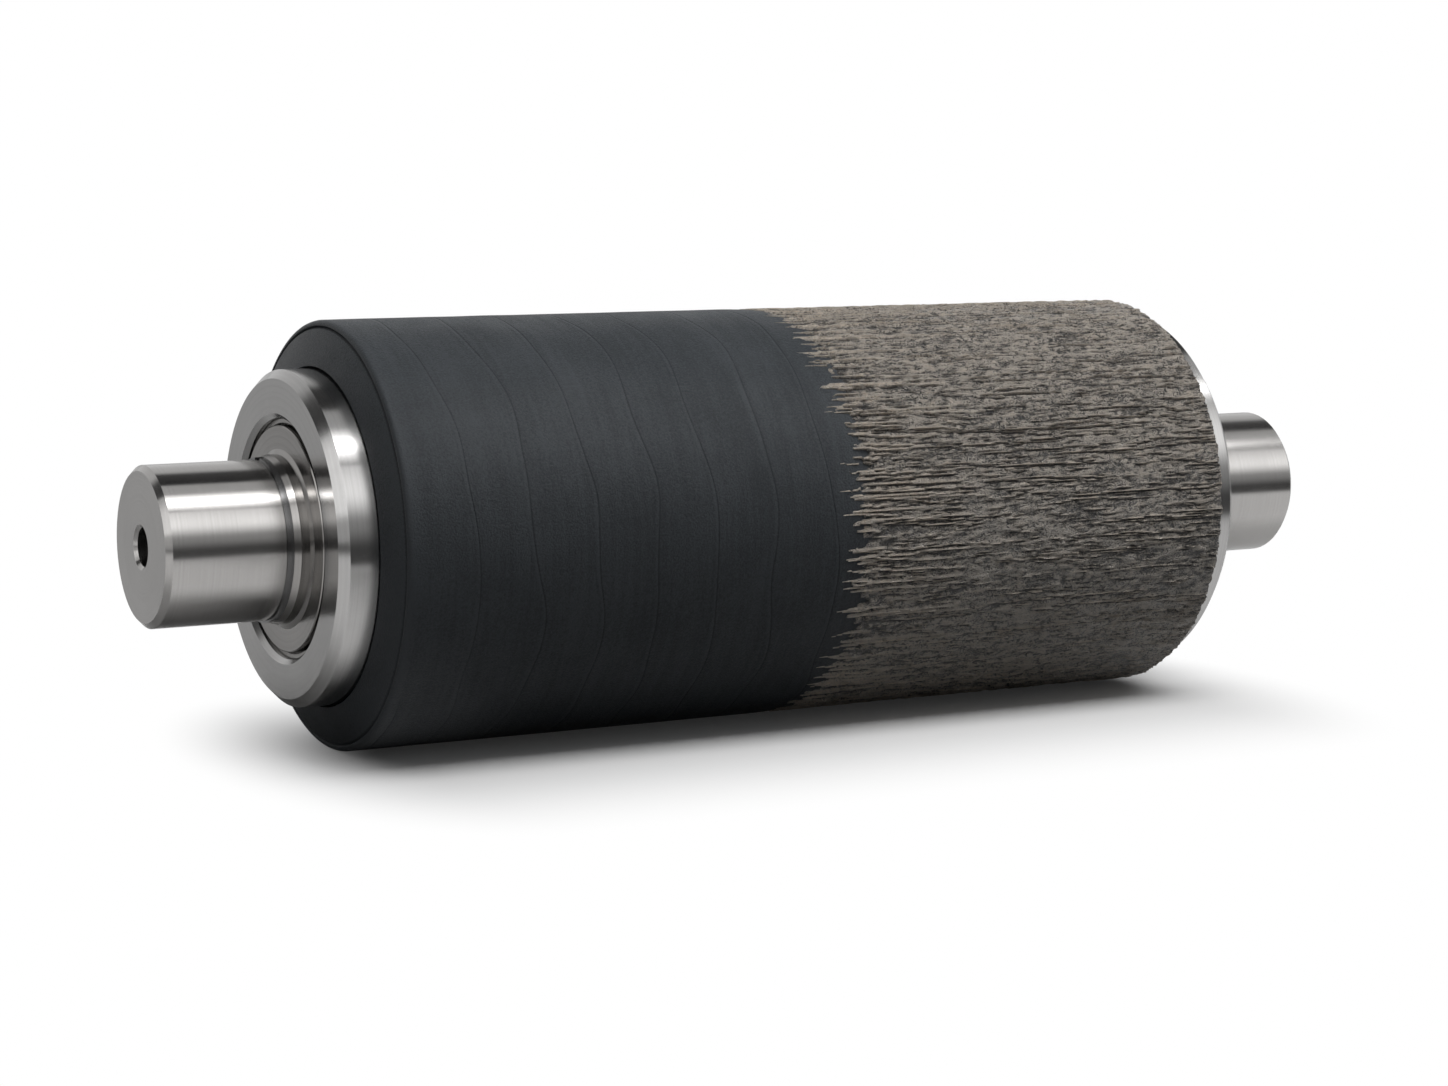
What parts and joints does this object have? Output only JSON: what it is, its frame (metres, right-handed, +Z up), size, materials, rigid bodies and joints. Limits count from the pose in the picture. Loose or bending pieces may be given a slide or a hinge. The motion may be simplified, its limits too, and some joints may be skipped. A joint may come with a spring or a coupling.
{
  "type": "conveyor pulley drum",
  "caption": "Rubber-lagged conveyor pulley drum that turns on internal ball bearings round a fixed steel shaft, with labyrinth-sealed hubs.",
  "frame": {"origin": "middle of the shaft on its axis, 7 mm from the middle of the drum", "axes": "+X along the shaft towards the bare steel end ring, +Z up"},
  "size_m": [0.842, 0.27, 0.27],
  "materials": {
    "ground_steel": "satin",
    "turned_steel": "satin",
    "rolled_steel": "matte",
    "bearing_steel": "gloss",
    "cage_brass": "satin",
    "spring_steel": "satin",
    "smooth_rubber": "satin",
    "rough_rubber": "matte",
    "seal_rubber": "satin"
  },
  "bodies": {
    "axle": {"shaft": "ground_steel", "bearing_inner_ring_left": "bearing_steel", "shaft_snap_ring_left": "spring_steel", "labyrinth_inner_left": "turned_steel", "o_ring_left": "seal_rubber", "bearing_inner_ring_right": "bearing_steel", "shaft_snap_ring_right": "spring_steel", "labyrinth_inner_right": "turned_steel", "o_ring_right": "seal_rubber"},
    "drum": {"shell": "rolled_steel", "smooth_lagging": "smooth_rubber", "rough_lagging": "rough_rubber", "end_ring_right": "turned_steel", "end_disc_left": "rolled_steel", "hub_left": "turned_steel", "bearing_outer_ring_left": "bearing_steel", "hub_circlip_left": "spring_steel", "labyrinth_outer_left": "turned_steel", "inner_grease_seal_left": "turned_steel", "end_disc_right": "rolled_steel", "hub_right": "turned_steel", "bearing_outer_ring_right": "bearing_steel", "hub_circlip_right": "spring_steel", "labyrinth_outer_right": "turned_steel", "inner_grease_seal_right": "turned_steel"},
    "ball_set_left": {"bearing_balls_left": "bearing_steel", "bearing_cage_left": "cage_brass"},
    "ball_set_right": {"bearing_balls_right": "bearing_steel", "bearing_cage_right": "cage_brass"}
  },
  "joints": [
    {"name": "drum_spin", "type": "hinge", "parent": "axle", "child": "drum", "pos_m": [-0.007, 0, 0], "axis": [1, 0, 0], "continuous": true},
    {"name": "cage_spin_left", "type": "hinge", "parent": "axle", "child": "ball_set_left", "pos_m": [-0.2965, 0, 0], "axis": [1, 0, 0], "continuous": true},
    {"name": "cage_spin_right", "type": "hinge", "parent": "axle", "child": "ball_set_right", "pos_m": [0.2825, 0, 0], "axis": [1, 0, 0], "continuous": true}
  ],
  "couplings": [
    {"joint": "cage_spin_left", "follows": "drum_spin", "ratio": 0.568},
    {"joint": "cage_spin_right", "follows": "drum_spin", "ratio": 0.568}
  ]
}
